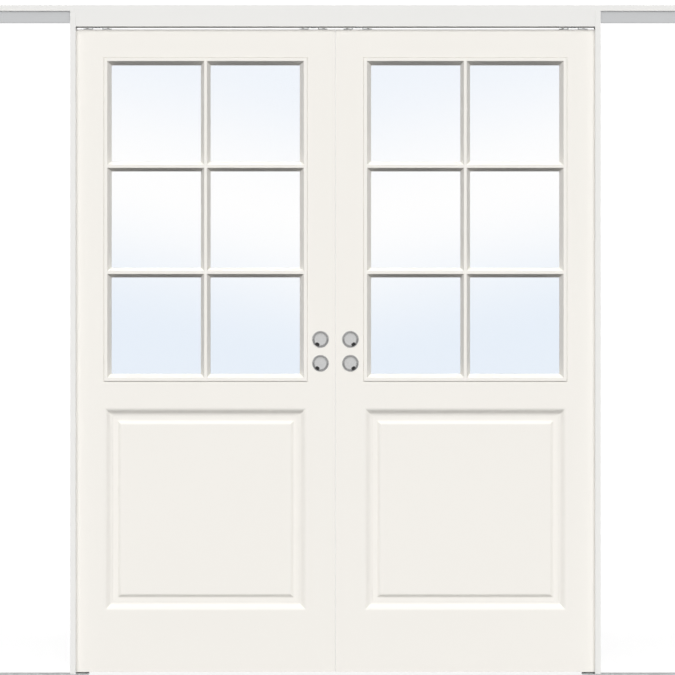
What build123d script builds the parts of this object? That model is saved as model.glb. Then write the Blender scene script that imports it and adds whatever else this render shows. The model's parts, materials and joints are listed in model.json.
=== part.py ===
from build123d import *
import os

# Driving dimensions in millimetres, read off the photograph at one standard leaf size
leaf_width = 825
leaf_height = 2040
leaf_thickness = 40
meeting_gap = 1
floor_gap = 8
arris_radius = 2

# Stile and rail faces up to the two openings of a leaf
outer_stile_width = 91.7
meeting_stile_width = 90.3
top_rail_height = 90.6
lock_rail_height = 85.4
bottom_rail_height = 195
panel_opening_height = 644

# Moulded edge around the panel, and the raised panel itself
sticking_run = 26
sticking_depth = 12
tongue_length = 11
tongue_thickness = 10
panel_shoulder_gap = 0.4
margin_width = 13.2
field_run = 14.5
field_rise = 6.6

# Stub tenons of the rails
tenon_length = 32
tenon_thickness = 12
tenon_shoulder = 16
joint_clearance = 0.3

# Glass and the two glazing frames that hold it
glass_thickness = 4
glass_edge_gap = 3
flange_overlap = 1.5
flange_proud = 2.5
flange_round = 1.8
flange_rebate = 2.5
flange_gap = 1.2
bead_width = 24
bar_width = 31
slope_run = 13
bar_slope_run = 11
nib_height = 1
frame_clearance = 0.5
pane_columns = 2
pane_rows = 3

# Round cup pulls
pull_edge_distance = 47
pull_upper_height = 1056
pull_lower_height = 980
pull_radius = 26.9
pull_proud = 1.6
pull_rim_width = 2.7
pull_rim_round = 1
pull_depth = 10.5
pull_floor_radius = 19.8
pull_wall = 1.2
finger_slot_width = 7
finger_slot_radius = 17
finger_slot_angle = -56
finger_slot_sweep = 18.5
finger_room = 5
pull_bore_clearance = 0.4

# Guide groove in the leaf and the guide that stands in it
groove_width = 8
groove_depth = 16
guide_clearance = 0.8
guide_length = 36
guide_rise = 13
guide_base_thickness = 3
guide_base_width = 26
guide_base_length = 60
guide_inset = 40

# Head track
track_width = 40
track_height = 36
track_wall = 2.5
track_lip = 3
track_slot = 11
track_above_leaf = 22

# Trolleys, wheels and hanging brackets
trolley_inset = 70
trolley_length = 80
trolley_width = 14
trolley_height = 18
trolley_lift = 3
trolley_round = 4
wheel_radius = 11
wheel_width = 8
wheel_spacing = 48
wheel_lift = 0.3
wheel_edge = 0.8
axle_radius = 2.5
axle_clearance = 0.05
wheel_side_gap = 0.5
axle_head_radius = 4
axle_head_thickness = 0.7
bracket_length = 90
bracket_width = 30
bracket_steel = 3
bracket_bridge = 36
bracket_rise = 14
bolt_radius = 4
bolt_clearance = 0.1
bolt_head_flats = 13
bolt_head_height = 5.3
nut_height = 5
bracket_screw_radius = 2.6
bracket_screw_inset = 12

# Travel and stops
leaf_travel = 735
stop_length = 30
stop_width = 26
stop_height = 22
buffer_radius = 6
buffer_length = 13
stop_clearance = 0.3

# Pocket frame
pocket_clear_width = 54
frame_depth = 75
head_thickness = 18
jamb_width = 18
jamb_overlap = 2
lining_gap = 8
lining_round = 1.5
post_width = 45
post_gap = 14.5
stud_width = 45
stud_wall = 1.5
stud_share = 0.5
plate_thickness = 3
fixing_radius = 4.25
fixing_setback = 240
fixing_edge = 8.5
post_fixing_height = 400
post_fixing_spacing = 1300
floor_fixing_radius = 3.25
floor_fixing_inset = 130
floor_fixing_spacing = 480

# How far a cut runs past the piece it cuts
overrun = 1

# Positions that follow from the sizes above, for the leaf on the right
half_leaf = leaf_thickness / 2
meeting_edge = meeting_gap / 2
outer_edge = meeting_edge + leaf_width
opening_inner = meeting_edge + meeting_stile_width
opening_outer = outer_edge - outer_stile_width
opening_width = opening_outer - opening_inner
opening_middle = (opening_inner + opening_outer) / 2
leaf_bottom = floor_gap
leaf_top = leaf_bottom + leaf_height
panel_bottom = leaf_bottom + bottom_rail_height
panel_top = panel_bottom + panel_opening_height
panel_middle = (panel_bottom + panel_top) / 2
glazing_bottom = panel_top + lock_rail_height
glazing_top = leaf_top - top_rail_height
glazing_height = glazing_top - glazing_bottom
glazing_middle = (glazing_bottom + glazing_top) / 2
rim_half = half_leaf - sticking_depth
field_half = rim_half + field_rise
pull_height_list = {"upper": leaf_bottom + pull_upper_height, "lower": leaf_bottom + pull_lower_height}
pull_x = meeting_edge + pull_edge_distance
pull_bowl_radius = pull_radius - pull_rim_width
pull_shell_radius = pull_bowl_radius + pull_wall
pull_bore_radius = pull_shell_radius + pull_bore_clearance
pull_bore_depth = pull_depth - pull_proud + pull_wall + finger_room

track_bottom = leaf_top + track_above_leaf
track_top = track_bottom + track_height
track_floor = track_bottom + track_lip
axle_height = track_floor + wheel_lift + wheel_radius
trolley_bottom = track_floor + trolley_lift
trolley_top = trolley_bottom + trolley_height
trolley_half = trolley_length / 2
inner_trolley_x = meeting_edge + trolley_inset
outer_trolley_x = outer_edge - trolley_inset
wheel_inner = trolley_width / 2 + wheel_side_gap
wheel_outer = wheel_inner + wheel_width
axle_head_inner = wheel_outer + wheel_side_gap
axle_half = axle_head_inner + axle_head_thickness

pocket_half = pocket_clear_width / 2
frame_half = frame_depth / 2
side_thickness = frame_half - pocket_half
jamb_inner = outer_edge - jamb_overlap
jamb_outer = jamb_inner + jamb_width
post_inner = outer_edge + leaf_travel + post_gap
post_outer = post_inner + post_width
stud_x = jamb_outer + (post_inner - jamb_outer) * stud_share
head_top = track_top + head_thickness
plate_start = jamb_inner - guide_inset
end_buffer_x = outer_trolley_x + trolley_half + leaf_travel + stop_clearance
centre_buffer_x = inner_trolley_x - trolley_half - stop_clearance

os.makedirs("parts", exist_ok=True)


def save(piece, name):
    piece.label = name
    export_step(piece, f"parts/{name}.step")


def save_pair(piece, name):
    save(piece, f"right_{name}")
    with BuildPart() as left:
        mirror(piece, about=Plane.YZ)
    save(left.part, f"left_{name}")


def block(x_range, y_range, z_range, mode=Mode.ADD):
    with BuildSketch(Plane.XY.offset(z_range[0]), mode=Mode.PRIVATE) as outline:
        with Locations(((x_range[0] + x_range[1]) / 2, (y_range[0] + y_range[1]) / 2)):
            Rectangle(x_range[1] - x_range[0], y_range[1] - y_range[0])
    extrude(outline.sketch, amount=z_range[1] - z_range[0], mode=mode)


def front_outline(points):
    # a board seen from the front, through the whole leaf thickness
    with BuildSketch(Plane.XZ.offset(-half_leaf), mode=Mode.PRIVATE) as outline:
        with BuildLine():
            Polyline(*points, close=True)
        make_face()
    extrude(outline.sketch, amount=leaf_thickness)


def ogee_cut(plane, edge, inward, length):
    # moulding with an S-shaped section along an edge, on the front and the back of the leaf
    run_end = edge + inward * sticking_run
    past = run_end + inward * overrun
    with BuildSketch(plane, mode=Mode.PRIVATE) as hollow:
        for face in (-1, 1):
            face_y = face * half_leaf
            with BuildLine():
                Spline(
                    (edge, face_y),
                    (run_end, face * rim_half),
                    tangents=((inward, 0), (inward, 0)),
                )
                Polyline(
                    (run_end, face * rim_half),
                    (past, face * rim_half),
                    (past, face_y + face * overrun),
                    (edge, face_y + face * overrun),
                    (edge, face_y),
                )
            make_face()
    extrude(hollow.sketch, amount=length, mode=Mode.SUBTRACT)


def flange_rebate_cut():
    # a shallow rebate round the glazing, on the front and the back, that takes the glazing frames' flanges
    reach = flange_overlap + flange_gap
    for face in (-1, 1):
        with BuildSketch(Plane.XZ.offset(-face * half_leaf), mode=Mode.PRIVATE) as rebate:
            with Locations((opening_middle, glazing_middle)):
                Rectangle(opening_width + 2 * reach, glazing_height + 2 * reach)
        extrude(rebate.sketch, amount=face * flange_rebate, mode=Mode.SUBTRACT)


def rail_tenon_range(bottom, top):
    return (bottom + tenon_shoulder, top - tenon_shoulder)


tenon_ranges = [
    rail_tenon_range(leaf_bottom + groove_depth, panel_bottom),
    rail_tenon_range(panel_top, glazing_bottom),
    rail_tenon_range(glazing_top, leaf_top),
]
tongue_half = tongue_thickness / 2
groove_half = tongue_half + joint_clearance
tenon_half = tenon_thickness / 2
mortise_half = tenon_half + joint_clearance
whole_leaf_x = (meeting_edge - overrun, outer_edge + overrun)
guide_groove_y = (-groove_width / 2, groove_width / 2)
guide_groove_z = (leaf_bottom - overrun, leaf_bottom + groove_depth)


def stile(edge, inner, inward):
    rim = inner + inward * sticking_run
    with BuildPart() as board:
        front_outline([
            (edge, leaf_bottom),
            (inner, leaf_bottom),
            (inner, panel_bottom),
            (rim, panel_bottom + sticking_run),
            (rim, panel_top - sticking_run),
            (inner, panel_top),
            (inner, leaf_top),
            (edge, leaf_top),
        ])
        long_arrises = board.edges().filter_by(Axis.Z).group_by(Axis.X)[0 if inward > 0 else -1]
        fillet(long_arrises, arris_radius)
        ogee_cut(Plane.XY.offset(panel_bottom), inner, inward, panel_opening_height)
        tongue_end = rim - inward * (tongue_length + joint_clearance)
        block(
            sorted((tongue_end, rim + inward * overrun)),
            (-groove_half, groove_half),
            (panel_bottom, panel_top),
            Mode.SUBTRACT,
        )
        mortise_end = inner - inward * (tenon_length + joint_clearance)
        for low, high in tenon_ranges:
            block(
                sorted((mortise_end, inner)),
                (-mortise_half, mortise_half),
                (low - joint_clearance, high + joint_clearance),
                Mode.SUBTRACT,
            )
        block(whole_leaf_x, guide_groove_y, guide_groove_z, Mode.SUBTRACT)
        flange_rebate_cut()
    return board.part


def bored_stile():
    plain_stile = stile(meeting_edge, opening_inner, 1)
    with BuildPart() as board:
        add(plain_stile)
        for height in pull_height_list.values():
            for face in (-1, 1):
                with BuildSketch(Plane.XZ.offset(-face * half_leaf)):
                    with Locations((pull_x, height)):
                        Circle(pull_bore_radius)
                extrude(amount=face * pull_bore_depth, mode=Mode.SUBTRACT)
    return board.part


def rail(bottom, top, tenon, moulded_edge):
    # moulded_edge is -1 for a moulding on the lower edge, 1 on the upper edge, 0 for none
    lower = [(opening_inner, bottom), (opening_outer, bottom)]
    upper = [(opening_outer, top), (opening_inner, top)]
    if moulded_edge < 0:
        lower = [
            (opening_inner, bottom),
            (opening_inner + sticking_run, bottom - sticking_run),
            (opening_outer - sticking_run, bottom - sticking_run),
            (opening_outer, bottom),
        ]
    if moulded_edge > 0:
        upper = [
            (opening_outer, top),
            (opening_outer - sticking_run, top + sticking_run),
            (opening_inner + sticking_run, top + sticking_run),
            (opening_inner, top),
        ]
    with BuildPart() as board:
        front_outline(lower + upper)
        block(
            (opening_inner - tenon_length, opening_outer + tenon_length),
            (-tenon_half, tenon_half),
            tenon,
        )
        if moulded_edge:
            edge = top if moulded_edge > 0 else bottom
            rim = edge + moulded_edge * sticking_run
            side_view = Plane(origin=(opening_inner, 0, 0), x_dir=(0, 0, 1), z_dir=(1, 0, 0))
            ogee_cut(side_view, edge, moulded_edge, opening_width)
            tongue_end = rim - moulded_edge * (tongue_length + joint_clearance)
            block(
                (opening_inner, opening_outer),
                (-groove_half, groove_half),
                sorted((tongue_end, rim + moulded_edge * overrun)),
                Mode.SUBTRACT,
            )
        if bottom == leaf_bottom:
            block(whole_leaf_x, guide_groove_y, guide_groove_z, Mode.SUBTRACT)
        else:
            flange_rebate_cut()
    return board.part


def panel_section(plane, half_size):
    # half_size is half the clear size between the rims
    shoulder = half_size - panel_shoulder_gap
    edge = half_size + tongue_length
    margin_end = half_size - margin_width
    field_edge = margin_end - field_run
    with BuildSketch(plane, mode=Mode.PRIVATE) as section:
        for side in (-1, 1):
            for face in (-1, 1):
                with BuildLine():
                    Polyline(
                        (0, 0),
                        (side * edge, 0),
                        (side * edge, face * tongue_half),
                        (side * shoulder, face * tongue_half),
                        (side * shoulder, face * rim_half),
                        (side * margin_end, face * rim_half),
                    )
                    Spline(
                        (side * margin_end, face * rim_half),
                        (side * field_edge, face * field_half),
                        tangents=((-side, 0), (-side, 0)),
                    )
                    Polyline(
                        (side * field_edge, face * field_half),
                        (0, face * field_half),
                        (0, 0),
                    )
                make_face()
    return section.sketch


def raised_panel():
    half_width = opening_width / 2 - sticking_run
    half_height = panel_opening_height / 2 - sticking_run
    middle = (opening_middle, 0, panel_middle)
    across = panel_section(Plane(middle), half_width)
    upright = panel_section(Plane(origin=middle, x_dir=(0, 0, 1), z_dir=(1, 0, 0)), half_height)
    with BuildPart() as board:
        extrude(across, amount=panel_opening_height, both=True)
        extrude(upright, amount=opening_width, both=True, mode=Mode.INTERSECT)
    return board.part


def glazing_frame():
    # the front frame: a flange let into the leaf face, a body in the opening, and tapered panes cut through
    outer_width = opening_width + 2 * flange_overlap
    outer_height = glazing_height + 2 * flange_overlap
    top_face = half_leaf + flange_proud
    glass_face = glass_thickness / 2
    daylight_width = outer_width - 2 * bead_width
    daylight_height = outer_height - 2 * bead_width
    pane_width = (daylight_width - (pane_columns - 1) * bar_width) / pane_columns
    pane_height = (daylight_height - (pane_rows - 1) * bar_width) / pane_rows
    middle = (opening_middle, glazing_middle)
    first_x = opening_middle - (pane_columns - 1) * (pane_width + bar_width) / 2
    first_z = glazing_middle - (pane_rows - 1) * (pane_height + bar_width) / 2
    panes = [(column, row) for column in range(pane_columns) for row in range(pane_rows)]
    with BuildPart() as grille:
        with BuildSketch(Plane.XZ.offset(half_leaf - flange_rebate)):
            with Locations(middle):
                Rectangle(outer_width, outer_height)
        extrude(amount=flange_rebate + flange_proud)
        fillet(grille.faces().sort_by(Axis.Y)[0].edges(), flange_round)
        with BuildSketch(Plane.XZ.offset(glass_face)):
            with Locations(middle):
                Rectangle(opening_width - 2 * frame_clearance, glazing_height - 2 * frame_clearance)
        extrude(amount=half_leaf - glass_face)
        for column, row in panes:
            x = first_x + column * (pane_width + bar_width)
            z = first_z + row * (pane_height + bar_width)
            # the slopes run further at the frame than at the bars
            left_run = slope_run if column == 0 else bar_slope_run
            right_run = slope_run if column == pane_columns - 1 else bar_slope_run
            lower_run = slope_run if row == 0 else bar_slope_run
            upper_run = slope_run if row == pane_rows - 1 else bar_slope_run
            with BuildSketch(Plane.XZ.offset(glass_face + nib_height)):
                with Locations((x, z)):
                    Rectangle(pane_width, pane_height)
            with BuildSketch(Plane.XZ.offset(top_face)):
                with Locations((x + (right_run - left_run) / 2, z + (upper_run - lower_run) / 2)):
                    Rectangle(pane_width + left_run + right_run, pane_height + lower_run + upper_run)
            loft(ruled=True, mode=Mode.SUBTRACT)
            with BuildSketch(Plane.XZ.offset(glass_face)):
                with Locations((x, z)):
                    Rectangle(pane_width, pane_height)
            extrude(amount=nib_height, mode=Mode.SUBTRACT)
    return grille.part


def rear_of(piece):
    with BuildPart() as rear:
        mirror(piece, about=Plane.XZ)
    return rear.part


def glass_pane():
    with BuildPart() as pane:
        with BuildSketch(Plane.XZ.offset(-glass_thickness / 2)):
            with Locations((opening_middle, glazing_middle)):
                Rectangle(opening_width - 2 * glass_edge_gap, glazing_height - 2 * glass_edge_gap)
        extrude(amount=glass_thickness)
    return pane.part


def cup_pull(height):
    # turned section from the middle of the cup outwards, then a slot for a fingertip
    rim_y = -half_leaf - pull_proud
    floor_y = rim_y + pull_depth
    bowl_edge = pull_bowl_radius
    with BuildPart() as cup:
        with BuildSketch(Plane((pull_x, 0, height))):
            with BuildLine():
                Polyline((0, floor_y), (pull_floor_radius, floor_y), (bowl_edge, rim_y + pull_rim_round))
                Polyline(
                    (bowl_edge, rim_y + pull_rim_round),
                    (bowl_edge + pull_rim_round, rim_y),
                    (pull_radius - pull_rim_round, rim_y),
                    (pull_radius, rim_y + pull_rim_round),
                    (pull_radius, -half_leaf),
                    (pull_shell_radius, -half_leaf),
                    (pull_floor_radius + pull_wall, floor_y + pull_wall),
                    (0, floor_y + pull_wall),
                    (0, floor_y),
                )
            make_face()
        revolve(axis=Axis((pull_x, 0, height), (0, 1, 0)))
        with BuildSketch(Plane.XZ.offset(-rim_y)):
            with BuildLine(mode=Mode.PRIVATE):
                slot_line = CenterArc(
                    (pull_x, height),
                    finger_slot_radius,
                    finger_slot_angle - finger_slot_sweep / 2,
                    finger_slot_sweep,
                )
            SlotArc(slot_line, finger_slot_width)
        extrude(amount=-pull_depth - pull_wall, mode=Mode.SUBTRACT)
    return cup.part


def hanger_plates():
    # hat-shaped steel brackets on the top edge of the leaf
    bridge_top = leaf_top + bracket_rise
    bridge_half = bracket_bridge / 2
    half = bracket_length / 2
    with BuildPart() as plates:
        for middle in (inner_trolley_x, outer_trolley_x):
            with BuildSketch(Plane.XZ.offset(-bracket_width / 2)):
                with BuildLine():
                    Polyline(
                        (middle - half, leaf_top),
                        (middle - bridge_half + bracket_steel, leaf_top),
                        (middle - bridge_half + bracket_steel, bridge_top - bracket_steel),
                        (middle + bridge_half - bracket_steel, bridge_top - bracket_steel),
                        (middle + bridge_half - bracket_steel, leaf_top),
                        (middle + half, leaf_top),
                        (middle + half, leaf_top + bracket_steel),
                        (middle + bridge_half, leaf_top + bracket_steel),
                        (middle + bridge_half, bridge_top),
                        (middle - bridge_half, bridge_top),
                        (middle - bridge_half, leaf_top + bracket_steel),
                        (middle - half, leaf_top + bracket_steel),
                        close=True,
                    )
                make_face()
            extrude(amount=bracket_width)
            with Locations((middle, 0, bridge_top)):
                Hole(bolt_radius + bolt_clearance, depth=bracket_steel)
            screw_x = half - bracket_screw_inset
            with Locations((middle - screw_x, 0, leaf_top + bracket_steel),
                           (middle + screw_x, 0, leaf_top + bracket_steel)):
                Hole(bracket_screw_radius, depth=bracket_steel)
    return plates.part


def hanger_bolts():
    # hexagon bolts that carry the leaf, each with its lock nut
    bridge_top = leaf_top + bracket_rise
    head_top_z = bridge_top - bracket_steel
    corner = bolt_head_flats / 2
    with BuildPart() as bolts:
        for middle in (inner_trolley_x, outer_trolley_x):
            with BuildSketch(Plane.XY.offset(head_top_z - bolt_head_height)):
                with Locations((middle, 0)):
                    RegularPolygon(corner, 6, major_radius=False)
            extrude(amount=bolt_head_height)
            with BuildSketch(Plane.XY.offset(head_top_z)):
                with Locations((middle, 0)):
                    Circle(bolt_radius)
            extrude(amount=trolley_top - head_top_z)
            with BuildSketch(Plane.XY.offset(bridge_top)):
                with Locations((middle, 0)):
                    RegularPolygon(corner, 6, major_radius=False)
                    Circle(bolt_radius + axle_clearance, mode=Mode.SUBTRACT)
            extrude(amount=nut_height)
    return bolts.part


def trolley(middle):
    with BuildPart() as carriage:
        block(
            (middle - trolley_half, middle + trolley_half),
            (-trolley_width / 2, trolley_width / 2),
            (trolley_bottom, trolley_top),
        )
        fillet(carriage.edges().filter_by(Axis.Y), trolley_round)
        with Locations((middle, 0, trolley_top)):
            Hole(bolt_radius + axle_clearance, depth=trolley_height)
        for side in (-1, 1):
            axle = (middle + side * wheel_spacing / 2, axle_height)
            with BuildSketch(Plane.XZ.offset(-axle_half)):
                with Locations(axle):
                    Circle(axle_radius)
            extrude(amount=2 * axle_half)
            for head in (-axle_half, axle_head_inner):
                with BuildSketch(Plane.XZ.offset(head)):
                    with Locations(axle):
                        Circle(axle_head_radius)
                extrude(amount=axle_head_thickness)
    return carriage.part


def wheel_pair(middle):
    bore = axle_radius + axle_clearance
    with BuildPart() as wheels:
        with BuildSketch(Plane((middle, 0, axle_height))):
            for side in (-1, 1):
                with BuildLine():
                    Polyline(
                        (bore, side * wheel_inner),
                        (wheel_radius - wheel_edge, side * wheel_inner),
                        (wheel_radius, side * (wheel_inner + wheel_edge)),
                        (wheel_radius, side * (wheel_outer - wheel_edge)),
                        (wheel_radius - wheel_edge, side * wheel_outer),
                        (bore, side * wheel_outer),
                        close=True,
                    )
                make_face()
        revolve(axis=Axis((middle, 0, axle_height), (0, 1, 0)))
    return wheels.part


# The two leaves: each piece is made for the right leaf and mirrored for the left
front_frame = glazing_frame()
save_pair(stile(outer_edge, opening_outer, -1), "outer_stile")
save_pair(bored_stile(), "meeting_stile")
save_pair(rail(glazing_top, leaf_top, tenon_ranges[2], 0), "top_rail")
save_pair(rail(panel_top, glazing_bottom, tenon_ranges[1], -1), "lock_rail")
save_pair(rail(leaf_bottom, panel_bottom, tenon_ranges[0], 1), "bottom_rail")
save_pair(raised_panel(), "panel")
save_pair(front_frame, "front_glazing_frame")
save_pair(rear_of(front_frame), "rear_glazing_frame")
save_pair(glass_pane(), "glass_pane")
for pull_name, pull_height in pull_height_list.items():
    front_pull = cup_pull(pull_height)
    save_pair(front_pull, f"front_{pull_name}_pull")
    save_pair(rear_of(front_pull), f"rear_{pull_name}_pull")
save_pair(hanger_plates(), "hanger_plates")
save_pair(hanger_bolts(), "hanger_bolts")
for trolley_name, trolley_x in (("inner", inner_trolley_x), ("outer", outer_trolley_x)):
    save_pair(trolley(trolley_x), f"{trolley_name}_trolley")
    save_pair(wheel_pair(trolley_x - wheel_spacing / 2), f"{trolley_name}_trolley_lead_wheels")
    save_pair(wheel_pair(trolley_x + wheel_spacing / 2), f"{trolley_name}_trolley_tail_wheels")


# The pocket frame
with BuildPart() as frame_head:
    block((-post_outer, post_outer), (-frame_half, frame_half), (track_top, head_top))
    fixing_x = post_outer - fixing_setback
    fixing_y = frame_half - fixing_edge
    with Locations((0, 0, head_top)):
        with GridLocations(2 * fixing_x, 2 * fixing_y, 2, 2):
            Hole(fixing_radius, depth=head_thickness)
save(frame_head.part, "frame_head")

with BuildPart() as head_track:
    inner_half = track_width / 2 - track_wall
    slot_half = track_slot / 2
    with BuildSketch(Plane.YZ):
        with Locations((0, (track_bottom + track_top) / 2)):
            Rectangle(track_width, track_height)
        with Locations((0, (track_floor + track_top - track_wall) / 2)):
            Rectangle(2 * inner_half, track_top - track_wall - track_floor, mode=Mode.SUBTRACT)
        with Locations((0, track_bottom + track_lip / 2)):
            Rectangle(2 * slot_half, track_lip, mode=Mode.SUBTRACT)
    extrude(amount=post_inner, both=True)
save(head_track.part, "head_track")

with BuildPart() as front_head_lining:
    block((-jamb_inner, jamb_inner), (-frame_half, -pocket_half), (leaf_top + lining_gap, track_top))
    fillet(front_head_lining.faces().sort_by(Axis.Z)[0].edges().filter_by(Axis.X), lining_round)
save(front_head_lining.part, "front_head_lining")
save(rear_of(front_head_lining.part), "rear_head_lining")

with BuildPart() as front_jamb:
    block((jamb_inner, jamb_outer), (-frame_half, -pocket_half), (plate_thickness, track_top))
    fillet(front_jamb.edges().filter_by(Axis.Z).group_by(Axis.X)[0], lining_round)
save_pair(front_jamb.part, "front_jamb")
save_pair(rear_of(front_jamb.part), "rear_jamb")

with BuildPart() as pocket_post:
    block((post_inner, post_outer), (-frame_half, frame_half), (plate_thickness, track_top))
    with BuildSketch(Plane.YZ.offset(post_inner)):
        with Locations((0, post_fixing_height), (0, post_fixing_height + post_fixing_spacing)):
            Circle(fixing_radius)
    extrude(amount=post_width, mode=Mode.SUBTRACT)
save_pair(pocket_post.part, "pocket_post")

with BuildPart() as pocket_studs:
    with BuildSketch(Plane.XY.offset(plate_thickness)):
        for face in (-1, 1):
            with Locations((stud_x, face * (pocket_half + side_thickness / 2))):
                Rectangle(stud_width, side_thickness)
            with Locations((stud_x, face * (pocket_half + (side_thickness - stud_wall) / 2))):
                Rectangle(stud_width - 2 * stud_wall, side_thickness - stud_wall, mode=Mode.SUBTRACT)
    extrude(amount=track_top - plate_thickness)
save_pair(pocket_studs.part, "pocket_studs")

with BuildPart() as floor_plate:
    block((plate_start, post_outer), (-frame_half, frame_half), (0, plate_thickness))
    first_hole = jamb_outer + floor_fixing_inset
    second_hole = first_hole + floor_fixing_spacing
    with Locations((first_hole, 0, plate_thickness), (second_hole, 0, plate_thickness)):
        Hole(floor_fixing_radius, depth=plate_thickness)
save_pair(floor_plate.part, "floor_plate")

with BuildPart() as floor_guide:
    guide_half = groove_width / 2 - guide_clearance
    base_top = plate_thickness + guide_base_thickness
    blade_x = plate_start + guide_length / 2
    base_x = (plate_start, plate_start + guide_base_length)
    block(base_x, (-guide_base_width / 2, guide_base_width / 2), (plate_thickness, base_top))
    block(
        (blade_x - guide_length / 2, blade_x + guide_length / 2),
        (-guide_half, guide_half),
        (base_top, leaf_bottom + guide_rise),
    )
    fillet(floor_guide.edges().filter_by(Axis.Y).group_by(Axis.Z)[-1], guide_half)
save_pair(floor_guide.part, "floor_guide")

with BuildPart() as track_stops:
    stop_z = (track_floor, track_floor + stop_height)
    stop_y = (-stop_width / 2, stop_width / 2)
    centre_half = centre_buffer_x - buffer_length
    block((-centre_half, centre_half), stop_y, stop_z)
    for side in (-1, 1):
        near = side * (end_buffer_x + buffer_length)
        far = side * (end_buffer_x + buffer_length + stop_length)
        block(sorted((near, far)), stop_y, stop_z)
save(track_stops.part, "track_stops")

with BuildPart() as stop_buffers:
    buffer_z = (trolley_bottom + trolley_top) / 2
    for start in (-centre_buffer_x, centre_half, -end_buffer_x - buffer_length, end_buffer_x):
        with BuildSketch(Plane.YZ.offset(start)):
            with Locations((0, buffer_z)):
                Circle(buffer_radius)
        extrude(amount=buffer_length)
save(stop_buffers.part, "stop_buffers")
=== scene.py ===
import json
import math

import bmesh
import bpy
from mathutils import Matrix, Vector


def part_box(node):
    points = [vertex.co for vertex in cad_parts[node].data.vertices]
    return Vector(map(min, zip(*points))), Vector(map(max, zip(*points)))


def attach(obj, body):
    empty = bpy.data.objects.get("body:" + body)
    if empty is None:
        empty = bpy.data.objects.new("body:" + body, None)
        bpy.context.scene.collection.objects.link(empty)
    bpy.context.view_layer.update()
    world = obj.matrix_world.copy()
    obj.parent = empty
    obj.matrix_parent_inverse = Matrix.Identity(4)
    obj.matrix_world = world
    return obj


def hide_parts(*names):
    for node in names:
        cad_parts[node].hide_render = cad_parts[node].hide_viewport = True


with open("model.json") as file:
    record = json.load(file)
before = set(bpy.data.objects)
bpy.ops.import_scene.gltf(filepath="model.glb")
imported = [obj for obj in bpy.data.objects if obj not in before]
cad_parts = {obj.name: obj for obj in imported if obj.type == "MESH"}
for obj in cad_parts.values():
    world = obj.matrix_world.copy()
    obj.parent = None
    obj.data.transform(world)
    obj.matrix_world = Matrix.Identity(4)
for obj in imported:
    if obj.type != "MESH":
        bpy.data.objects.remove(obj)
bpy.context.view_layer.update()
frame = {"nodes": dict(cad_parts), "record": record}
scene = bpy.context.scene
nodes = frame["nodes"]
slotOfNode = {part["node"]: part["material_slot"] for part in frame["record"]["subparts"]}
sides = ("left", "right")
print("frame loaded:", len(nodes), "pieces")


# camera, straight on to the two leaves, a long lens so that nothing tapers
cameraSet = {"lens": 300, "sensor": 36, "clipEnd": 200,
             "across": 0.0065, "eyeHeight": 1.070, "fromFace": 17.86}

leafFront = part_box("left_outer_stile")[0].y
cameraData = bpy.data.cameras.new("camera")
cameraData.lens = cameraSet["lens"]
cameraData.sensor_width = cameraSet["sensor"]
cameraData.clip_end = cameraSet["clipEnd"]
camera = bpy.data.objects.new("camera", cameraData)
camera.location = (cameraSet["across"], leafFront - cameraSet["fromFace"], cameraSet["eyeHeight"])
camera.rotation_euler = (math.pi / 2, 0, 0)
scene.collection.objects.link(camera)
scene.camera = camera
scene.view_settings.view_transform = "Standard"
print("camera placed")


# small helpers for node trees
def addNode(tree, kind, place, **settings):
    node = tree.nodes.new(kind)
    node.location = place
    for name, value in settings.items():
        setattr(node, name, value)
    return node


def feed(tree, source, socket):
    # the output of another node is linked, a plain value is set
    if isinstance(source, bpy.types.NodeSocket):
        tree.links.new(source, socket)
    else:
        socket.default_value = source


def setInputs(node, values):
    for name, value in values.items():
        node.inputs[name].default_value = value


def maths(tree, place, operation, *values):
    node = addNode(tree, "ShaderNodeMath", place, operation=operation)
    for value, socket in zip(values, node.inputs):
        feed(tree, value, socket)
    return node.outputs[0]


def mixValues(tree, place, factor, first, second):
    node = addNode(tree, "ShaderNodeMix", place, data_type="FLOAT")
    for source, name in ((factor, "Factor"), (first, "A"), (second, "B")):
        feed(tree, source, node.inputs[name])
    return node.outputs["Result"]


def grey(level):
    return (level, level, level, 1)


def seenRay(tree):
    # shown is 1 for rays to the camera, in gloss and through glass, and 0 for rays that light
    # a surface; mirrored is 1 only for rays in gloss
    path = addNode(tree, "ShaderNodeLightPath", (-900, 500)).outputs
    shown = maths(tree, (-700, 500), "MAXIMUM", path["Is Camera Ray"], path["Is Glossy Ray"])
    shown = maths(tree, (-600, 500), "MAXIMUM", shown, path["Is Transmission Ray"])
    unscattered = maths(tree, (-600, 340), "SUBTRACT", 1.0, path["Diffuse Depth"])
    unscattered.node.use_clamp = True
    shown = maths(tree, (-480, 500), "MULTIPLY", shown, unscattered)
    direct = maths(tree, (-700, 180), "SUBTRACT", 1.0, path["Is Transmission Ray"])
    mirrored = maths(tree, (-600, 180), "MULTIPLY", path["Is Glossy Ray"], direct)
    return shown, mirrored


# studio: soft sky, two pairs of wide lamps, pale floor
studio = {
    "skyTop": 0.12, "skyBottom": 0.11, "backdrop": 1.055,
    "roomDark": 0.44, "roomTop": 0.54, "ceilingFrom": 0.05, "ceilingTo": 0.75,
    "roomFront": 0.89, "screenFrom": 0.88, "screenTo": 0.985,
    "lampAngle": 0.55, "lampRise": 31, "lampTurn": 14,
    "keyStrength": 1.66, "backStrength": 1.42,
    "floorSize": 30, "floorDrop": 0.0005,
    "floorGlow": 0.71, "floorMirror": 0.32, "floorShade": 0.30, "floorBounce": 0.13,
}


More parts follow.
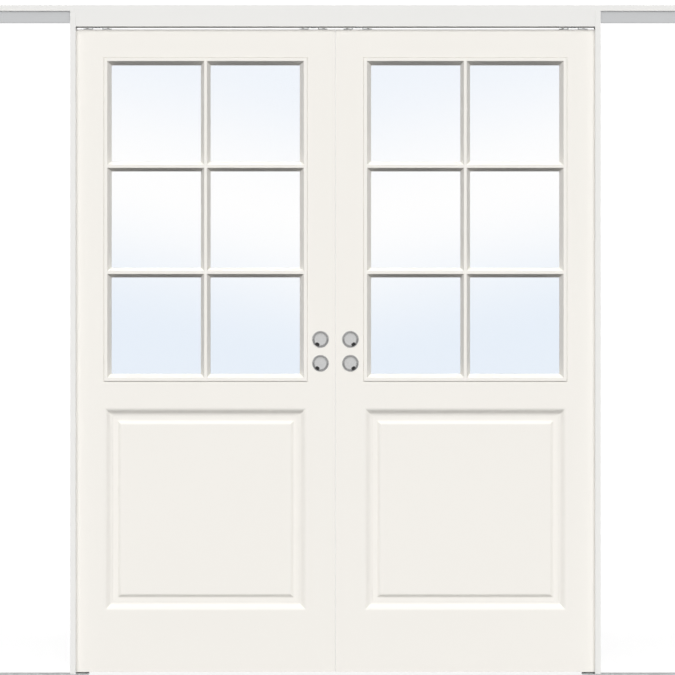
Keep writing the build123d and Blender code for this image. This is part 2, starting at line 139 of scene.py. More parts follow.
def makeWorld():
    world = bpy.data.worlds.new("studio")
    scene.world = world
    world.use_nodes = True
    tree = world.node_tree
    tree.nodes.clear()
    shown, mirrored = seenRay(tree)
    direction = addNode(tree, "ShaderNodeTexCoord", (-900, 0))
    parts = addNode(tree, "ShaderNodeSeparateXYZ", (-720, 0))
    feed(tree, direction.outputs["Generated"], parts.inputs[0])
    ambient = addNode(tree, "ShaderNodeMapRange", (-520, 200))
    setInputs(ambient, {"From Min": -1, "To Min": studio["skyBottom"], "To Max": studio["skyTop"]})
    feed(tree, parts.outputs["Z"], ambient.inputs["Value"])
    # gloss sees a dim room with a lighter ceiling, and bright screens in front and behind
    ceiling = addNode(tree, "ShaderNodeMapRange", (-520, -60), interpolation_type="SMOOTHSTEP")
    setInputs(ceiling, {"From Min": studio["ceilingFrom"], "From Max": studio["ceilingTo"],
                        "To Min": studio["roomDark"], "To Max": studio["roomTop"]})
    feed(tree, parts.outputs["Z"], ceiling.inputs["Value"])
    squareOn = maths(tree, (-720, -240), "ABSOLUTE", parts.outputs["Y"])
    screen = addNode(tree, "ShaderNodeMapRange", (-520, -300), interpolation_type="SMOOTHSTEP")
    setInputs(screen, {"From Min": studio["screenFrom"], "From Max": studio["screenTo"]})
    feed(tree, squareOn, screen.inputs["Value"])
    room = mixValues(tree, (-400, -60), screen.outputs["Result"],
                     ceiling.outputs["Result"], studio["roomFront"])
    glossy = mixValues(tree, (-300, -60), mirrored, studio["backdrop"], room)
    strength = mixValues(tree, (-120, 200), shown, ambient.outputs["Result"], glossy)
    background = addNode(tree, "ShaderNodeBackground", (80, 200))
    background.inputs["Color"].default_value = grey(1)
    feed(tree, strength, background.inputs["Strength"])
    output = addNode(tree, "ShaderNodeOutputWorld", (280, 200))
    feed(tree, background.outputs[0], output.inputs["Surface"])


def makeLamps():
    rise = math.pi / 2 - math.radians(studio["lampRise"])
    turn = math.radians(studio["lampTurn"])
    pairs = (("key", 0, studio["keyStrength"]), ("back", math.pi, studio["backStrength"]))
    for name, facing, strength in pairs:
        for number, swing in enumerate((-turn, turn)):
            data = bpy.data.lights.new(f"{name}Lamp{number}", "SUN")
            data.energy = strength
            data.angle = studio["lampAngle"]
            lamp = bpy.data.objects.new(data.name, data)
            lamp.rotation_euler = (rise, 0, facing + swing)
            lamp.visible_glossy = False
            scene.collection.objects.link(lamp)


def makeFloor():
    half = studio["floorSize"] / 2
    drop = -studio["floorDrop"]
    mesh = bpy.data.meshes.new("floor")
    corners = [(-half, -half, drop), (half, -half, drop), (half, half, drop), (-half, half, drop)]
    mesh.from_pydata(corners, [], [(0, 1, 2, 3)])
    floor = bpy.data.objects.new("floor", mesh)
    scene.collection.objects.link(floor)
    material = bpy.data.materials.new("paleFloor")
    material.use_nodes = True
    tree = material.node_tree
    tree.nodes.clear()
    shown, mirrored = seenRay(tree)
    bounce = addNode(tree, "ShaderNodeBsdfDiffuse", (-300, 200))
    bounce.inputs["Color"].default_value = grey(studio["floorBounce"])
    shade = addNode(tree, "ShaderNodeBsdfDiffuse", (-300, 0))
    shade.inputs["Color"].default_value = grey(studio["floorShade"])
    glow = addNode(tree, "ShaderNodeEmission", (-300, -140))
    glow.inputs["Color"].default_value = grey(1)
    level = mixValues(tree, (-460, -140), mirrored, studio["floorGlow"], studio["floorMirror"])
    feed(tree, level, glow.inputs["Strength"])
    both = addNode(tree, "ShaderNodeAddShader", (-100, -60))
    feed(tree, shade.outputs[0], both.inputs[0])
    feed(tree, glow.outputs[0], both.inputs[1])
    mixed = addNode(tree, "ShaderNodeMixShader", (80, 100))
    feed(tree, shown, mixed.inputs[0])
    feed(tree, bounce.outputs[0], mixed.inputs[1])
    feed(tree, both.outputs[0], mixed.inputs[2])
    output = addNode(tree, "ShaderNodeOutputMaterial", (260, 100))
    feed(tree, mixed.outputs[0], output.inputs["Surface"])
    mesh.materials.append(material)


makeWorld()
makeLamps()
makeFloor()
print("studio ready")


# shader groups shared by the finishes
def startGroup(name, inputs, outputs):
    group = bpy.data.node_groups.new(name, "ShaderNodeTree")
    for label, kind in inputs:
        group.interface.new_socket(label, in_out="INPUT", socket_type=kind)
    for label, kind in outputs:
        group.interface.new_socket(label, in_out="OUTPUT", socket_type=kind)
    given = addNode(group, "NodeGroupInput", (-900, 0))
    return group, given.outputs, addNode(group, "NodeGroupOutput", (500, 0))


def stretched(tree, place, vector, scale):
    mapping = addNode(tree, "ShaderNodeMapping", place)
    feed(tree, vector, mapping.inputs["Vector"])
    feed(tree, scale, mapping.inputs["Scale"])
    return mapping.outputs[0]


def noiseAt(tree, place, vector, scale, detail):
    noise = addNode(tree, "ShaderNodeTexNoise", place)
    noise.inputs["Detail"].default_value = detail
    feed(tree, vector, noise.inputs["Vector"])
    feed(tree, scale, noise.inputs["Scale"])
    return noise.outputs[0]


def varyValue(tree, place, base, wave, amount):
    # a value that swings about its base by a wave that runs from 0 to 1
    centred = maths(tree, (place[0] - 360, place[1]), "SUBTRACT", wave, 0.5)
    scaled = maths(tree, (place[0] - 180, place[1]), "MULTIPLY", centred, amount)
    return maths(tree, place, "ADD", scaled, base)


def shadeColour(tree, place, colour, wave, amount):
    # lightens and darkens a colour by the same kind of wave
    value = varyValue(tree, (place[0] - 90, place[1] - 140), 1.0, wave, amount)
    node = addNode(tree, "ShaderNodeHueSaturation", place)
    feed(tree, value, node.inputs["Value"])
    feed(tree, colour, node.inputs["Color"])
    return node.outputs[0]


def makePaintSkin():
    # sprayed or rolled paint: faint drift in tone, uneven gloss, fine peel
    noise = {"drift": 2.2, "driftDetail": 3, "patch": 9, "patchDetail": 4, "peelDetail": 2}
    group, given, result = startGroup(
        "paintSkin",
        [("Colour", "NodeSocketColor"), ("Tone Drift", "NodeSocketFloat"),
         ("Peel Scale", "NodeSocketFloat"), ("Gloss Base", "NodeSocketFloat"),
         ("Gloss Drift", "NodeSocketFloat")],
        [("Colour", "NodeSocketColor"), ("Roughness", "NodeSocketFloat"),
         ("Height", "NodeSocketFloat")],
    )
    where = addNode(group, "ShaderNodeTexCoord", (-900, -300)).outputs["Object"]
    drift = noiseAt(group, (-600, 200), where, noise["drift"], noise["driftDetail"])
    peel = noiseAt(group, (-600, -300), where, given["Peel Scale"], noise["peelDetail"])
    patchy = noiseAt(group, (-600, -60), where, noise["patch"], noise["patchDetail"])
    colour = shadeColour(group, (200, 200), given["Colour"], drift, given["Tone Drift"])
    rough = varyValue(group, (200, -60), given["Gloss Base"], patchy, given["Gloss Drift"])
    feed(group, colour, result.inputs["Colour"])
    feed(group, rough, result.inputs["Roughness"])
    feed(group, peel, result.inputs["Height"])
    return group


def makeDrawnGrain():
    # streaks along one direction, as rolling, drawing and brushing leave them
    noise = {"scale": 1.0, "detail": 5}
    group, given, result = startGroup(
        "drawnGrain",
        [("Colour", "NodeSocketColor"), ("Stretch", "NodeSocketVector"),
         ("Contrast", "NodeSocketFloat"), ("Gloss Base", "NodeSocketFloat"),
         ("Gloss Drift", "NodeSocketFloat")],
        [("Colour", "NodeSocketColor"), ("Roughness", "NodeSocketFloat"),
         ("Height", "NodeSocketFloat")],
    )
    where = addNode(group, "ShaderNodeTexCoord", (-900, -300)).outputs["Object"]
    along = stretched(group, (-720, -200), where, given["Stretch"])
    streak = noiseAt(group, (-520, 0), along, noise["scale"], noise["detail"])
    colour = shadeColour(group, (200, 200), given["Colour"], streak, given["Contrast"])
    rough = varyValue(group, (200, -60), given["Gloss Base"], streak, given["Gloss Drift"])
    feed(group, colour, result.inputs["Colour"])
    feed(group, rough, result.inputs["Roughness"])
    feed(group, streak, result.inputs["Height"])
    return group


paintSkin = makePaintSkin()
drawnGrain = makeDrawnGrain()
print("shader groups ready")


def startMaterial(name):
    material = bpy.data.materials.new(name)
    material.use_nodes = True
    tree = material.node_tree
    return material, tree, tree.nodes["Principled BSDF"]


def placeGroup(tree, group, values):
    node = addNode(tree, "ShaderNodeGroup", (-500, 200), node_tree=group)
    setInputs(node, values)
    return node.outputs


def coverSurface(tree, surface, setup, colour, rough, height):
    feed(tree, colour, surface.inputs["Base Color"])
    feed(tree, rough, surface.inputs["Roughness"])
    bump = addNode(tree, "ShaderNodeBump", (-220, -300))
    setInputs(bump, {"Strength": setup["bump"], "Distance": setup["bumpDepth"]})
    feed(tree, height, bump.inputs["Height"])
    feed(tree, bump.outputs[0], surface.inputs["Normal"])


def paintMaterial(name, setup):
    material, tree, surface = startMaterial(name)
    skin = placeGroup(tree, paintSkin, {
        "Colour": (*setup["colour"], 1), "Tone Drift": setup["drift"], "Peel Scale": setup["peel"],
        "Gloss Base": setup["rough"], "Gloss Drift": setup["roughDrift"],
    })
    coverSurface(tree, surface, setup, skin["Colour"], skin["Roughness"], skin["Height"])
    surface.inputs["Specular IOR Level"].default_value = setup["specular"]
    return material


def metalMaterial(name, setup):
    material, tree, surface = startMaterial(name)
    grain = placeGroup(tree, drawnGrain, {
        "Colour": (*setup["colour"], 1), "Stretch": setup["stretch"],
        "Contrast": setup["contrast"],
        "Gloss Base": setup["rough"], "Gloss Drift": setup["roughDrift"],
    })
    coverSurface(tree, surface, setup, grain["Colour"], grain["Roughness"], grain["Height"])
    surface.inputs["Metallic"].default_value = setup["metallic"]
    return material


lacquer = {"colour": (0.896, 0.871, 0.823), "drift": 0.02, "peel": 320, "rough": 0.42,
           "roughDrift": 0.10, "bump": 0.10, "bumpDepth": 0.0006, "specular": 0.22}
primer = {"colour": (0.84, 0.835, 0.815), "drift": 0.03, "peel": 620, "rough": 0.62,
          "roughDrift": 0.14, "bump": 0.22, "bumpDepth": 0.0006, "specular": 0.3}
nylon = {"colour": (0.62, 0.63, 0.63), "drift": 0.06, "peel": 900, "rough": 0.48,
         "roughDrift": 0.12, "bump": 0.15, "bumpDepth": 0.0003, "specular": 0.45}
rubber = {"colour": (0.032, 0.032, 0.033), "drift": 0.25, "peel": 1400, "rough": 0.72,
          "roughDrift": 0.18, "bump": 0.4, "bumpDepth": 0.0003, "specular": 0.3}
# painted shade: a near-black colour on the walls of the finger slot stands for the shade inside it
slotShadePaint = {**rubber, "colour": (0.036, 0.036, 0.036), "peel": 700}
anodised = {"colour": (0.78, 0.79, 0.80), "stretch": (3, 700, 700), "contrast": 0.16,
            "rough": 0.34, "roughDrift": 0.18, "metallic": 1.0, "bump": 0.12, "bumpDepth": 0.0002}
castZinc = {"colour": (0.56, 0.57, 0.58), "stretch": (420, 420, 420), "contrast": 0.22,
            "rough": 0.46, "roughDrift": 0.2, "metallic": 1.0, "bump": 0.25, "bumpDepth": 0.0003}
screwSteel = {"colour": (0.62, 0.61, 0.58), "stretch": (900, 900, 900), "contrast": 0.2,
              "rough": 0.32, "roughDrift": 0.16, "metallic": 1.0, "bump": 0.1,
              "bumpDepth": 0.0002}


def galvanisedMaterial():
    # zinc spangle: irregular crystals that differ a little in tone and gloss
    zinc = {"crystals": 90, "colour": (0.66, 0.68, 0.69), "contrast": 0.3, "rough": 0.42,
            "roughDrift": 0.26, "metallic": 1.0, "bump": 0.08, "bumpDepth": 0.0004}
    material, tree, surface = startMaterial("galvanisedSteel")
    where = addNode(tree, "ShaderNodeTexCoord", (-900, 0)).outputs["Object"]
    cells = addNode(tree, "ShaderNodeTexVoronoi", (-700, 0))
    cells.inputs["Scale"].default_value = zinc["crystals"]
    feed(tree, where, cells.inputs["Vector"])
    crystal = addNode(tree, "ShaderNodeSeparateColor", (-520, 0))
    feed(tree, cells.outputs["Color"], crystal.inputs[0])
    tone = (*zinc["colour"], 1)
    colour = shadeColour(tree, (-60, 260), tone, crystal.outputs[0], zinc["contrast"])
    rough = varyValue(tree, (-60, -40), zinc["rough"], crystal.outputs[1], zinc["roughDrift"])
    coverSurface(tree, surface, zinc, colour, rough, cells.outputs["Distance"])
    surface.inputs["Metallic"].default_value = zinc["metallic"]
    return material


def pineMaterial():
    # upright grain: wavering year rings cut lengthways, and fine fibre
    pine = {"early": (0.80, 0.62, 0.40), "late": (0.56, 0.36, 0.18), "rings": (95, 95, 2.2),
            "bands": 0.62, "waver": 5.0, "waverDetail": 2.5, "waverScale": 0.3, "latePower": 3.5,
            "fibre": (1500, 1500, 26), "fibreScale": 1.0, "fibreDetail": 3, "fibreShade": 0.24,
            "rough": 0.62, "roughDrift": 0.2, "bump": 0.2, "bumpDepth": 0.0004, "specular": 0.3}
    material, tree, surface = startMaterial("planedPine")
    where = addNode(tree, "ShaderNodeTexCoord", (-1100, 0)).outputs["Object"]
    rings = addNode(tree, "ShaderNodeTexWave", (-700, 150), bands_direction="X")
    setInputs(rings, {"Scale": pine["bands"], "Distortion": pine["waver"],
                      "Detail": pine["waverDetail"], "Detail Scale": pine["waverScale"]})
    feed(tree, stretched(tree, (-900, 150), where, pine["rings"]), rings.inputs["Vector"])
    lateWood = maths(tree, (-580, 330), "POWER", rings.outputs["Fac"], pine["latePower"])
    lengthways = stretched(tree, (-900, -200), where, pine["fibre"])
    fibre = noiseAt(tree, (-700, -200), lengthways, pine["fibreScale"], pine["fibreDetail"])
    wood = addNode(tree, "ShaderNodeMix", (-460, 150), data_type="RGBA")
    setInputs(wood, {"A": (*pine["early"], 1), "B": (*pine["late"], 1)})
    feed(tree, lateWood, wood.inputs["Factor"])
    tone = wood.outputs["Result"]
    colour = shadeColour(tree, (-60, 150), tone, fibre, pine["fibreShade"])
    rough = varyValue(tree, (-60, -100), pine["rough"], fibre, pine["roughDrift"])
    coverSurface(tree, surface, pine, colour, rough, fibre)
    surface.inputs["Specular IOR Level"].default_value = pine["specular"]
    return material


def glassMaterial():
    # clear float glass whose base colour paints a sky reflection: cool at the top and bottom, with
    # a slanting clear band above the middle
    glass = {"lean": 0.193, "low": 0.95, "high": 1.90, "band": 0.52, "foot": (0.758, 0.822, 0.903),
             "clear": (0.944, 0.944, 0.946), "head": (0.825, 0.864, 0.920),
             "rough": 0.0, "ior": 1.5, "transmission": 1.0}
    material, tree, surface = startMaterial("clearGlass")
    where = addNode(tree, "ShaderNodeTexCoord", (-1100, 0)).outputs["Object"]
    parts = addNode(tree, "ShaderNodeSeparateXYZ", (-920, 0))
    feed(tree, where, parts.inputs[0])
    away = maths(tree, (-740, 100), "ABSOLUTE", parts.outputs["X"])
    leaning = maths(tree, (-580, 100), "MULTIPLY", away, glass["lean"])
    level = maths(tree, (-420, 0), "SUBTRACT", parts.outputs["Z"], leaning)
    share = addNode(tree, "ShaderNodeMapRange", (-260, 0))
    setInputs(share, {"From Min": glass["low"], "From Max": glass["high"]})
    feed(tree, level, share.inputs["Value"])
    # painted reflection: the ramp puts the sky's reflection into the glass colour by height
    paintedSkyReflection = addNode(tree, "ShaderNodeValToRGB", (-60, 300))
    paintedSkyReflection.color_ramp.interpolation = "EASE"
    paintedSkyReflection.color_ramp.elements[0].color = (*glass["foot"], 1)
    paintedSkyReflection.color_ramp.elements[1].color = (*glass["head"], 1)
    middle = paintedSkyReflection.color_ramp.elements.new(glass["band"])
    middle.color = (*glass["clear"], 1)
    feed(tree, share.outputs["Result"], paintedSkyReflection.inputs["Fac"])
    feed(tree, paintedSkyReflection.outputs["Color"], surface.inputs["Base Color"])
    setInputs(surface, {"Roughness": glass["rough"], "IOR": glass["ior"],
                        "Transmission Weight": glass["transmission"]})
    return material


def chromeMaterial():
    # satin chrome on turned pieces: fine rings that follow the piece's own radius
    chrome = {"colour": (0.74, 0.74, 0.735), "rings": 5200, "ringScale": 1.0, "ringDetail": 2,
              "contrast": 0.12, "rough": 0.24, "roughDrift": 0.16, "metallic": 1.0,
              "bump": 0.06, "bumpDepth": 0.0002}
    material, tree, surface = startMaterial("satinChrome")
    radius = addNode(tree, "ShaderNodeAttribute", (-900, 0), attribute_name="turnedRadius")
    turns = maths(tree, (-720, 0), "MULTIPLY", radius.outputs["Fac"], chrome["rings"])
    noise = addNode(tree, "ShaderNodeTexNoise", (-540, 0), noise_dimensions="1D")
    setInputs(noise, {"Scale": chrome["ringScale"], "Detail": chrome["ringDetail"]})
    feed(tree, turns, noise.inputs["W"])
    lines = noise.outputs[0]
    colour = shadeColour(tree, (-60, 260), (*chrome["colour"], 1), lines, chrome["contrast"])
    rough = varyValue(tree, (-60, -40), chrome["rough"], lines, chrome["roughDrift"])
    coverSurface(tree, surface, chrome, colour, rough, lines)
    surface.inputs["Metallic"].default_value = chrome["metallic"]
    return material


finishes = {
    "white_lacquer": paintMaterial("whiteLacquer", lacquer),
    "white_primer": paintMaterial("whitePrimer", primer),
    "grey_nylon": paintMaterial("greyNylon", nylon),
    "black_rubber": paintMaterial("blackRubber", rubber),
    "anodised_aluminium": metalMaterial("anodisedAluminium", anodised),
    "cast_zinc": metalMaterial("castZinc", castZinc),
    "galvanised_steel": galvanisedMaterial(),
    "bare_pine": pineMaterial(),
    "clear_glass": glassMaterial(),
    "satin_chrome": chromeMaterial(),
}
screwFinish = metalMaterial("screwSteel", screwSteel)
# the cups take satin chrome, and the slot walls take the near-black painted shade
cupFinishes = (finishes["satin_chrome"], paintMaterial("paintedSlotShade", slotShadePaint))
for name, piece in nodes.items():
    for socket in piece.material_slots:
        socket.material = finishes[slotOfNode[name]]
print("finishes placed:", len(finishes))


def makePlain(piece, modifier):
    # what the modifier makes becomes the piece's own mesh
    spare = piece.data
    graph = bpy.context.evaluated_depsgraph_get()
    mesh = bpy.data.meshes.new_from_object(piece.evaluated_get(graph))
    piece.modifiers.remove(modifier)
    piece.data = mesh
    bpy.data.meshes.remove(spare)
    mesh.name = piece.name
    return mesh


# round cup pulls, turned in one piece, with a finger slot in the wall at the lower outer side
cup = {
    "rimWidth": 0.0027, "proud": 0.0016, "depth": 0.0105, "floorRadius": 0.0198,
    "footRound": 0.0020, "backRadius": 0.0252, "sharpAngle": 40, "weld": 0.00002,
    "segments": 96, "floorSteps": 3, "footSteps": 5, "wallSteps": 4, "rimSteps": 14,
    "slotAngle": 238, "slotSweep": 18.5, "slotRadius": 0.0170, "slotHalfWidth": 0.0037,
    "slotBottom": 0.0115, "slotSteps": 10,
}


def cupProfile(radius, fullDepth):
    # radius and depth behind the rim, from the middle of the bowl round to the back
    bowlEdge = radius - cup["rimWidth"]
    foot = (cup["floorRadius"], cup["depth"])
    top = (bowlEdge, cup["proud"])
    length = math.hypot(top[0] - foot[0], top[1] - foot[1])
    near = (foot[0] - cup["footRound"], foot[1])
    far = (foot[0] + (top[0] - foot[0]) * cup["footRound"] / length,
           foot[1] + (top[1] - foot[1]) * cup["footRound"] / length)
    points = [(near[0] * step / cup["floorSteps"], cup["depth"])
              for step in range(cup["floorSteps"])]
    # the foot of the wall is a smooth curve between floor and wall
    for step in range(cup["footSteps"] + 1):
        t = step / cup["footSteps"]
        points.append(tuple(near[i] * (1 - t) ** 2 + 2 * foot[i] * t * (1 - t) + far[i] * t * t
                            for i in (0, 1)))
    for step in range(1, cup["wallSteps"]):
        t = step / cup["wallSteps"]
        points.append(tuple(far[i] * (1 - t) + top[i] * t for i in (0, 1)))
    # the rim is a half round bead that stands on the leaf
    for step in range(cup["rimSteps"] + 1):
        angle = math.pi * step / cup["rimSteps"]
        across = cup["rimWidth"] / 2 * (1 - math.cos(angle))
        points.append((bowlEdge + across, cup["proud"] * (1 - math.sin(angle))))
    points.append((cup["backRadius"], cup["proud"]))
    points.append((cup["backRadius"], fullDepth))
    points.append((0.0, fullDepth))
    return points


def slotOutline(aim):
    # a bent slot with round ends, as points across and up from the middle of the cup
    reach, half, steps = cup["slotRadius"], cup["slotHalfWidth"], cup["slotSteps"]
    swing = math.radians(cup["slotSweep"]) / 2
    points = []
    for way in (1, -1):
        edge = reach + way * half
        for step in range(steps + 1):
            angle = aim + way * swing * (2 * step / steps - 1)
            points.append((edge * math.cos(angle), edge * math.sin(angle)))
        end = aim + way * swing
        for step in range(1, steps):
            angle = end + math.pi * (step / steps + (0 if way > 0 else 1))
            points.append((reach * math.cos(end) + half * math.cos(angle),
                           reach * math.sin(end) + half * math.sin(angle)))
    return points


def slotCutter(centreX, centreZ, aim, nearY, farY):
    # the slot as a block that runs from in front of the rim into the floor of the cup
    outline = slotOutline(aim)
    count = len(outline)
    verts = [(centreX + x, y, centreZ + z) for y in (nearY, farY) for x, z in outline]
    faces = [tuple(range(count)), tuple(range(count, 2 * count))]
    for step in range(count):
        following = (step + 1) % count
        faces.append((step, following, following + count, step + count))
    mesh = bpy.data.meshes.new("slot_block")
    mesh.from_pydata(verts, [], faces)
    shape = bmesh.new()
    shape.from_mesh(mesh)
    bmesh.ops.recalc_face_normals(shape, faces=shape.faces)
    # the cut faces take the second finish, the near-black painted shade of the slot
    for face in shape.faces:
        face.material_index = 1
    shape.to_mesh(mesh)
    shape.free()
    for finish in cupFinishes:
        mesh.materials.append(finish)
    block = bpy.data.objects.new("slot_block", mesh)
    scene.collection.objects.link(block)
    return block


def cutSlot(piece, block):
    # the block is taken out of the cup, and goes with its mesh
    modifier = piece.modifiers.new("slot", "BOOLEAN")
    modifier.operation = "DIFFERENCE"
    modifier.solver = "EXACT"
    modifier.object = block
    mesh = makePlain(piece, modifier)
    bpy.data.meshes.remove(block.data)
    shape = bmesh.new()
    shape.from_mesh(mesh)
    bmesh.ops.remove_doubles(shape, verts=shape.verts, dist=cup["weld"])
    bmesh.ops.dissolve_degenerate(shape, edges=shape.edges, dist=cup["weld"])
    shape.to_mesh(mesh)
    shape.free()


def turnCup(node, outwards, slotTurn):
    # outwards is -1 on the front of a leaf and 1 on the back, slotTurn is -1 for the left leaf
    low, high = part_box(node)
    centreX, centreZ = (low.x + high.x) / 2, (low.z + high.z) / 2
    radius = (high.x - low.x) / 2
    rimY = low.y if outwards < 0 else high.y
    shape = bmesh.new()
    rings = []
    for distance, depth in cupProfile(radius, high.y - low.y):
        ring = []
        count = cup["segments"] if distance > 0 else 1
        for step in range(count):
            angle = 2 * math.pi * step / count
            ring.append(shape.verts.new((centreX + distance * math.cos(angle),
                                         rimY - outwards * depth,
                                         centreZ + distance * math.sin(angle))))
        rings.append(ring)
    for inner, outer in zip(rings, rings[1:]):
        count = max(len(inner), len(outer))
        for step in range(count):
            following = (step + 1) % count
            corners = [inner[step % len(inner)], outer[step % len(outer)],
                       outer[following % len(outer)], inner[following % len(inner)]]
            shape.faces.new(list(dict.fromkeys(corners)))
    bmesh.ops.recalc_face_normals(shape, faces=shape.faces)
    for face in shape.faces:
        face.smooth = True
    mesh = bpy.data.meshes.new(f"{node}_turned")
    shape.to_mesh(mesh)
    shape.free()
    for finish in cupFinishes:
        mesh.materials.append(finish)
    piece = bpy.data.objects.new(f"{node}_turned", mesh)
    scene.collection.objects.link(piece)
    aim = math.radians(cup["slotAngle"])
    if slotTurn > 0:
        aim = math.pi - aim
    inFront = rimY + outwards * cup["proud"]
    behind = rimY - outwards * cup["slotBottom"]
    cutSlot(piece, slotCutter(centreX, centreZ, aim, inFront, behind))
    turned = piece.data.attributes.new("turnedRadius", "FLOAT", "POINT")
    for index, vert in enumerate(piece.data.vertices):
        turned.data[index].value = math.hypot(vert.co.x - centreX, vert.co.z - centreZ)
    piece.data.set_sharp_from_angle(angle=math.radians(cup["sharpAngle"]))
    return piece


for side in sides:
    for face, outwards in (("front", -1), ("rear", 1)):
        for level in ("upper", "lower"):
            node = f"{side}_{face}_{level}_pull"
            pull = turnCup(node, outwards, -1 if side == "left" else 1)
            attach(pull, f"{side}_leaf")
            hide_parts(node)
print("cup pulls turned")


# geometry node trees for what repeats
def startTree(name, inputs):
    tree = bpy.data.node_groups.new(name, "GeometryNodeTree")
    tree.interface.new_socket("Geometry", in_out="INPUT", socket_type="NodeSocketGeometry")
    for label, kind in inputs:
        tree.interface.new_socket(label, in_out="INPUT", socket_type=kind)
    tree.interface.new_socket("Geometry", in_out="OUTPUT", socket_type="NodeSocketGeometry")
    given = addNode(tree, "NodeGroupInput", (-1000, 0))
    return tree, given.outputs, addNode(tree, "NodeGroupOutput", (900, 0))


def endTree(tree, given, result, shape, rotation=None):
    # an instance on each point, made real and given its finish
    copies = addNode(tree, "GeometryNodeInstanceOnPoints", (200, 0))
    feed(tree, given["Geometry"], copies.inputs["Points"])
    feed(tree, shape, copies.inputs["Instance"])
    if rotation:
        feed(tree, rotation, copies.inputs["Rotation"])
    real = addNode(tree, "GeometryNodeRealizeInstances", (400, 0))
    feed(tree, copies.outputs[0], real.inputs[0])
    finish = addNode(tree, "GeometryNodeSetMaterial", (600, 0))
    feed(tree, real.outputs[0], finish.inputs["Geometry"])
    feed(tree, given["Finish"], finish.inputs["Material"])
    feed(tree, finish.outputs[0], result.inputs["Geometry"])


def makeScrewTree():
    # low pan heads with a cross slot, each turned to stop at its own angle
    screw = {"sides": 20, "topShare": 0.78, "barShare": 1.1, "depthShare": 2.0,
             "widestTurn": math.pi / 2}
    tree, given, result = startTree("screwHeads", [
        ("Head Radius", "NodeSocketFloat"), ("Head Height", "NodeSocketFloat"),
        ("Slot Width", "NodeSocketFloat"), ("Slot Depth", "NodeSocketFloat"),
        ("Seed", "NodeSocketInt"), ("Finish", "NodeSocketMaterial"),
    ])
    topRadius = maths(tree, (-800, 300), "MULTIPLY", given["Head Radius"], screw["topShare"])
    head = addNode(tree, "GeometryNodeMeshCone", (-600, 300))
    head.inputs["Vertices"].default_value = screw["sides"]
    feed(tree, topRadius, head.inputs["Radius Top"])
    feed(tree, given["Head Radius"], head.inputs["Radius Bottom"])
    feed(tree, given["Head Height"], head.inputs["Depth"])
    # two crossed bars, centred on the top of the head, cut the slot
    reach = maths(tree, (-800, 80), "MULTIPLY", given["Head Radius"], screw["barShare"])
    deep = maths(tree, (-800, -60), "MULTIPLY", given["Slot Depth"], screw["depthShare"])
    bars = addNode(tree, "GeometryNodeJoinGeometry", (-260, 40))
    for lengthways, row in ((True, 100), (False, -60)):
        size = addNode(tree, "ShaderNodeCombineXYZ", (-600, row))
        feed(tree, reach, size.inputs[0 if lengthways else 1])
        feed(tree, given["Slot Width"], size.inputs[1 if lengthways else 0])
        feed(tree, deep, size.inputs[2])
        bar = addNode(tree, "GeometryNodeMeshCube", (-430, row))
        feed(tree, size.outputs[0], bar.inputs["Size"])
        feed(tree, bar.outputs[0], bars.inputs[0])
    lift = addNode(tree, "ShaderNodeCombineXYZ", (-430, -220))
    feed(tree, given["Head Height"], lift.inputs[2])
    raised = addNode(tree, "GeometryNodeTransform", (-120, 40))
    feed(tree, bars.outputs[0], raised.inputs["Geometry"])
    feed(tree, lift.outputs[0], raised.inputs["Translation"])
    cut = addNode(tree, "GeometryNodeMeshBoolean", (20, 220), operation="DIFFERENCE",
                  solver="EXACT")
    cut.inputs["Self Intersection"].default_value = True
    feed(tree, head.outputs["Mesh"], cut.inputs["Mesh 1"])
    feed(tree, raised.outputs[0], cut.inputs["Mesh 2"])
    facing = addNode(tree, "GeometryNodeInputNamedAttribute", (-430, -420),
                     data_type="FLOAT_VECTOR")
    facing.inputs["Name"].default_value = "facing"
    align = addNode(tree, "FunctionNodeAlignRotationToVector", (-200, -420), axis="Z")
    feed(tree, facing.outputs["Attribute"], align.inputs["Vector"])
    stop = addNode(tree, "FunctionNodeRandomValue", (-430, -620), data_type="FLOAT")
    stop.inputs["Max"].default_value = screw["widestTurn"]
    feed(tree, given["Seed"], stop.inputs["Seed"])
    spin = addNode(tree, "ShaderNodeCombineXYZ", (-250, -620))
    feed(tree, stop.outputs[1], spin.inputs[2])
    turn = addNode(tree, "FunctionNodeEulerToRotation", (-100, -620))
    feed(tree, spin.outputs[0], turn.inputs[0])
    both = addNode(tree, "FunctionNodeRotateRotation", (20, -440), rotation_space="LOCAL")
    feed(tree, align.outputs[0], both.inputs[0])
    feed(tree, turn.outputs[0], both.inputs[1])
    endTree(tree, given, result, cut.outputs["Mesh"], both.outputs[0])
    return tree


def makeThreadTree():
    # a rolled thread wound round each hanger bolt
    thread = {"turnSteps": 20, "sectionSides": 4}
    tree, given, result = startTree("boltThreads", [
        ("Bolt Radius", "NodeSocketFloat"), ("Thread Height", "NodeSocketFloat"),
        ("Pitch", "NodeSocketFloat"), ("Ridge", "NodeSocketFloat"),
        ("Finish", "NodeSocketMaterial"),
    ])
    turns = maths(tree, (-800, 200), "DIVIDE", given["Thread Height"], given["Pitch"])
    wound = addNode(tree, "GeometryNodeCurveSpiral", (-560, 100))
    wound.inputs["Resolution"].default_value = thread["turnSteps"]
    feed(tree, turns, wound.inputs["Rotations"])
    feed(tree, given["Bolt Radius"], wound.inputs["Start Radius"])
    feed(tree, given["Bolt Radius"], wound.inputs["End Radius"])
    feed(tree, given["Thread Height"], wound.inputs["Height"])
    section = addNode(tree, "GeometryNodeCurvePrimitiveCircle", (-560, -200))
    section.inputs["Resolution"].default_value = thread["sectionSides"]
    feed(tree, given["Ridge"], section.inputs["Radius"])
    ridge = addNode(tree, "GeometryNodeCurveToMesh", (-300, 0))
    ridge.inputs["Fill Caps"].default_value = True
    feed(tree, wound.outputs[0], ridge.inputs["Curve"])
    feed(tree, section.outputs["Curve"], ridge.inputs["Profile Curve"])
    endTree(tree, given, result, ridge.outputs[0])
    return tree


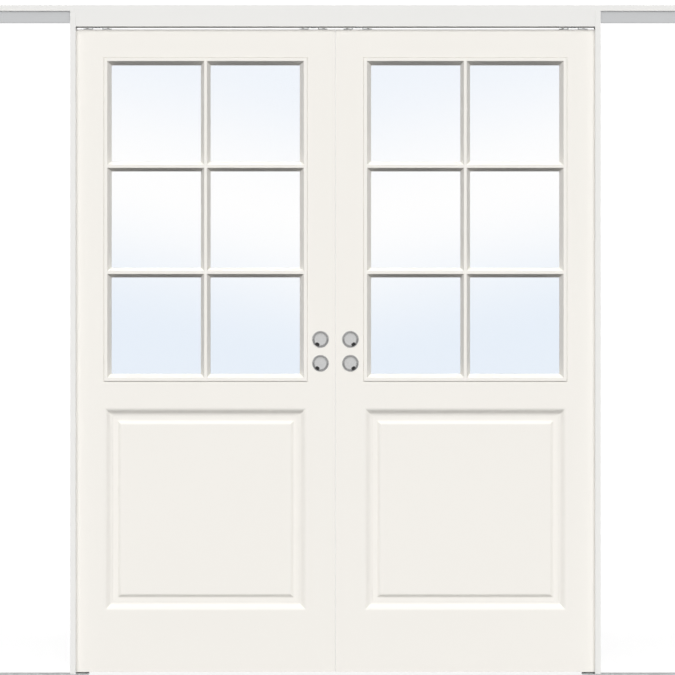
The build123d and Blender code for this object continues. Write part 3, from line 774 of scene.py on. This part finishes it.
def grow(name, tree, places, values, body):
    # a point for each place, the tree on top, and a plain mesh at the end
    points = bpy.data.meshes.new(f"{name}_points")
    points.from_pydata([place for place, facing in places], [], [])
    facings = points.attributes.new("facing", "FLOAT_VECTOR", "POINT")
    for index, (place, facing) in enumerate(places):
        facings.data[index].vector = facing
    piece = bpy.data.objects.new(name, points)
    scene.collection.objects.link(piece)
    modifier = piece.modifiers.new("tree", "NODES")
    modifier.node_group = tree
    for item in tree.interface.items_tree:
        if item.in_out == "INPUT" and item.name in values:
            modifier[item.identifier] = values[item.name]
    makePlain(piece, modifier)
    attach(piece, body)


def middleX(node):
    low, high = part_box(node)
    return (low.x + high.x) / 2


screwTree = makeScrewTree()
threadTree = makeThreadTree()
up, down = (0, 0, 1), (0, 0, -1)
hangerScrew = {"Head Radius": 0.0045, "Head Height": 0.0022, "Slot Width": 0.0011,
               "Slot Depth": 0.0013, "Seed": 4, "Finish": screwFinish}
guideScrew = {"Head Radius": 0.0036, "Head Height": 0.0008, "Slot Width": 0.0009,
              "Slot Depth": 0.0006, "Seed": 7, "Finish": screwFinish}
trackScrew = {"Head Radius": 0.0045, "Head Height": 0.0024, "Slot Width": 0.0011,
              "Slot Depth": 0.0014, "Seed": 11, "Finish": screwFinish}
boltThread = {"Bolt Radius": 0.0039, "Thread Height": 0.0080, "Pitch": 0.00125, "Ridge": 0.0004,
              "Finish": screwFinish}
hanger = {"steel": 0.003, "screwReach": 0.033, "nutTop": 0.0193}
guide = {"base": 0.003, "screwFromEnd": 0.018, "screwReach": 0.0085}
track = {"wall": 0.0025, "screwPitch": 0.35}

for side in sides:
    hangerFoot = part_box(f"{side}_hanger_plates")[0].z
    middles = [middleX(f"{side}_{which}_trolley") for which in ("inner", "outer")]
    spots = [((middle + way * hanger["screwReach"], 0, hangerFoot + hanger["steel"]), up)
             for middle in middles for way in (-1, 1)]
    grow(f"{side}_hanger_screws", screwTree, spots, hangerScrew, f"{side}_leaf")
    starts = [((middle, 0, hangerFoot + hanger["nutTop"]), up) for middle in middles]
    grow(f"{side}_bolt_threads", threadTree, starts, boltThread, f"{side}_leaf")
    low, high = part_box(f"{side}_floor_guide")
    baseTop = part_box(f"{side}_floor_plate")[1].z + guide["base"]
    along = guide["screwFromEnd"]
    if side == "left":
        along = (high.x - low.x) - along
    spots = [((low.x + along, way * guide["screwReach"], baseTop), up) for way in (-1, 1)]
    grow(f"{side}_guide_screws", screwTree, spots, guideScrew, "pocket_frame")
trackLow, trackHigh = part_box("head_track")
screwCount = int((trackHigh.x - trackLow.x) / track["screwPitch"])
firstScrew = -track["screwPitch"] * (screwCount - 1) / 2
screwSeat = trackHigh.z - track["wall"]
spots = [((firstScrew + track["screwPitch"] * step, 0, screwSeat), down)
         for step in range(screwCount)]
grow("track_screws", screwTree, spots, trackScrew, "pocket_frame")
print("screws and threads made")
